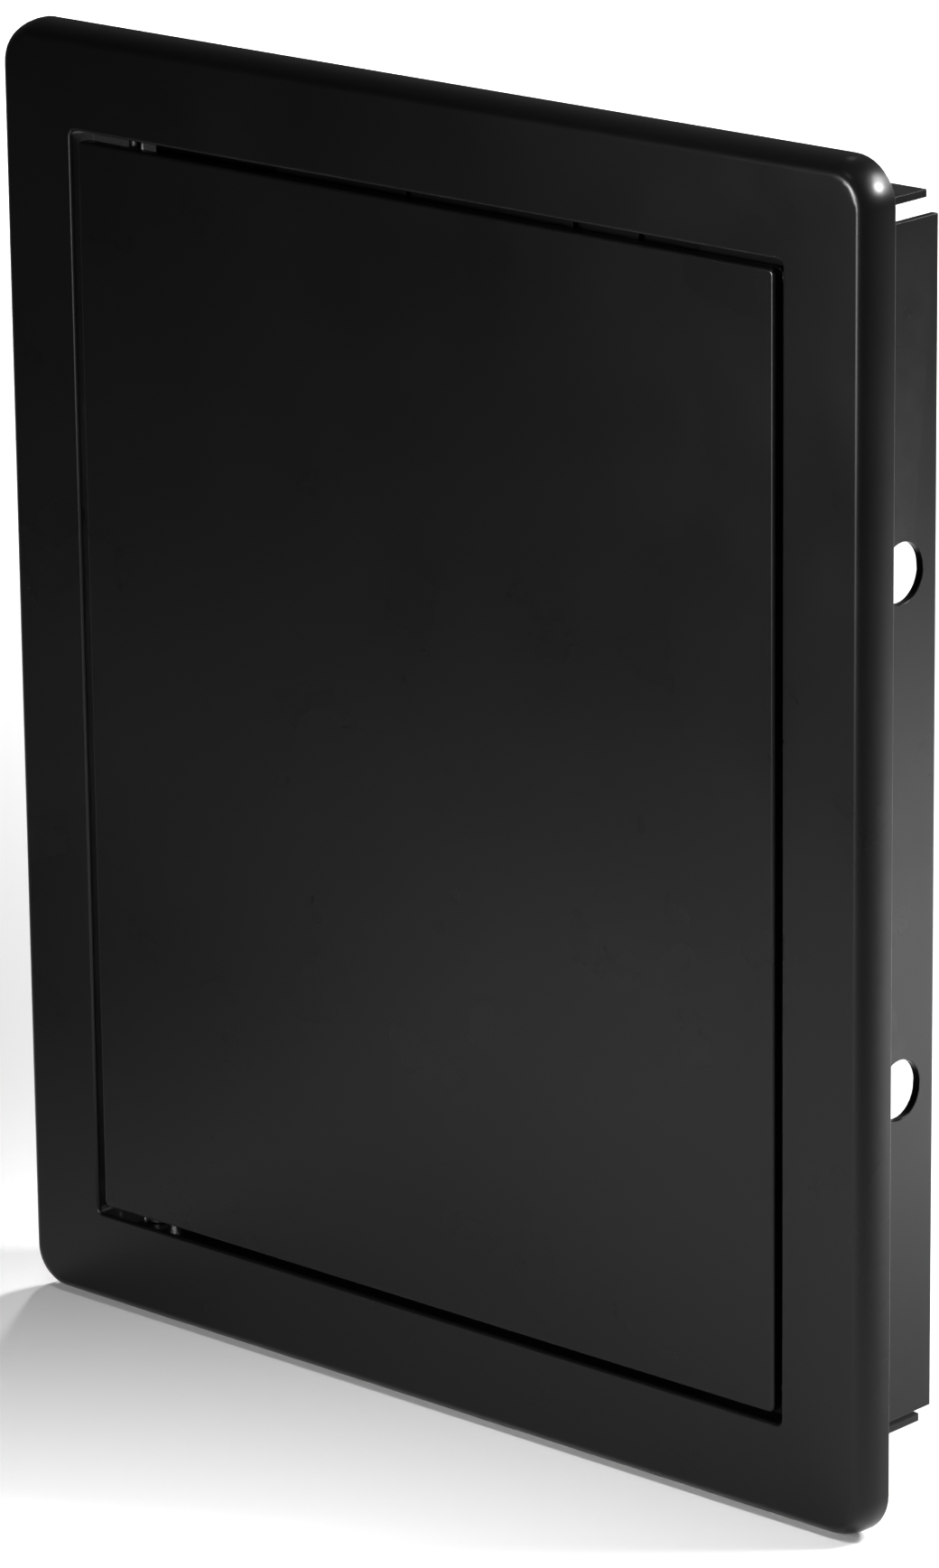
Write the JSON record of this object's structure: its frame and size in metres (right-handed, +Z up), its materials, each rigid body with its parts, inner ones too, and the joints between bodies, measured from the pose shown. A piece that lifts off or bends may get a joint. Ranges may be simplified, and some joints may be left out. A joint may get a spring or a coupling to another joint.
{
  "type": "flush access panel",
  "caption": "Flush wall access panel: moulded bezel frame with a flapped wall collar, a hinged handleless door and press-to-open latches.",
  "frame": {"origin": "middle of the wall opening, in the plane of the wall that the bezel's rim lies against", "axes": "+X to the right seen from the front, +Y into the wall, +Z up"},
  "size_m": [0.2446, 0.0385, 0.2926],
  "materials": {
    "frame_plastic": "satin black moulded ABS",
    "door_plastic": "satin black moulded ABS",
    "bush_plastic": "dark grey acetal",
    "pin_steel": "blackened steel",
    "spring_steel": "drawn wire",
    "latch_plastic": "fine matte, dark grey",
    "plunger_plastic": "natural acetal",
    "magnet": "dark ferrite",
    "strike_steel": "zinc plated sheet",
    "screw_steel": "zinc plated"
  },
  "bodies": {
    "frame": {"frame": "frame_plastic", "hinge_bush_upper": "bush_plastic", "hinge_bush_lower": "bush_plastic", "latch_housing_upper": "latch_plastic", "latch_housing_lower": "latch_plastic", "latch_cover_upper": "latch_plastic", "latch_cover_lower": "latch_plastic", "latch_spring_upper": "spring_steel", "latch_spring_lower": "spring_steel", "latch_cam_wire_upper": "spring_steel", "latch_cam_wire_lower": "spring_steel", "latch_screw_1": "screw_steel", "latch_screw_2": "screw_steel", "latch_screw_3": "screw_steel", "latch_screw_4": "screw_steel"},
    "door": {"door": "door_plastic", "hinge_pin_lower": "pin_steel", "hinge_spring": "spring_steel", "strike_plate_upper": "strike_steel", "strike_plate_lower": "strike_steel", "strike_screw_upper": "screw_steel", "strike_screw_lower": "screw_steel"},
    "hinge_bolt": {"hinge_pin_upper": "pin_steel", "hinge_pin_clip": "pin_steel"},
    "plunger_upper": {"latch_plunger_upper": "plunger_plastic", "latch_magnet_upper": "magnet"},
    "plunger_lower": {"latch_plunger_lower": "plunger_plastic", "latch_magnet_lower": "magnet"}
  },
  "joints": [
    {"name": "door_hinge", "type": "hinge", "parent": "frame", "child": "door", "pos_m": [-0.086, -0.0025, 0], "axis": [0, 0, 1], "range_deg": [-110, 0]},
    {"name": "hinge_bolt_slide", "type": "slide", "parent": "door", "child": "hinge_bolt", "axis": [0, 0, 1], "range_m": [-0.0065, 0], "stiffness_N_per_m": 200, "springref_m": 0.004, "deforming": ["hinge_spring"]},
    {"name": "latch_press_upper", "type": "slide", "parent": "frame", "child": "plunger_upper", "axis": [0, 1, 0], "range_m": [0, 0.0025], "stiffness_N_per_m": 300, "springref_m": -0.006, "deforming": ["latch_spring_upper"]},
    {"name": "latch_press_lower", "type": "slide", "parent": "frame", "child": "plunger_lower", "axis": [0, 1, 0], "range_m": [0, 0.0025], "stiffness_N_per_m": 300, "springref_m": -0.006, "deforming": ["latch_spring_lower"]}
  ]
}
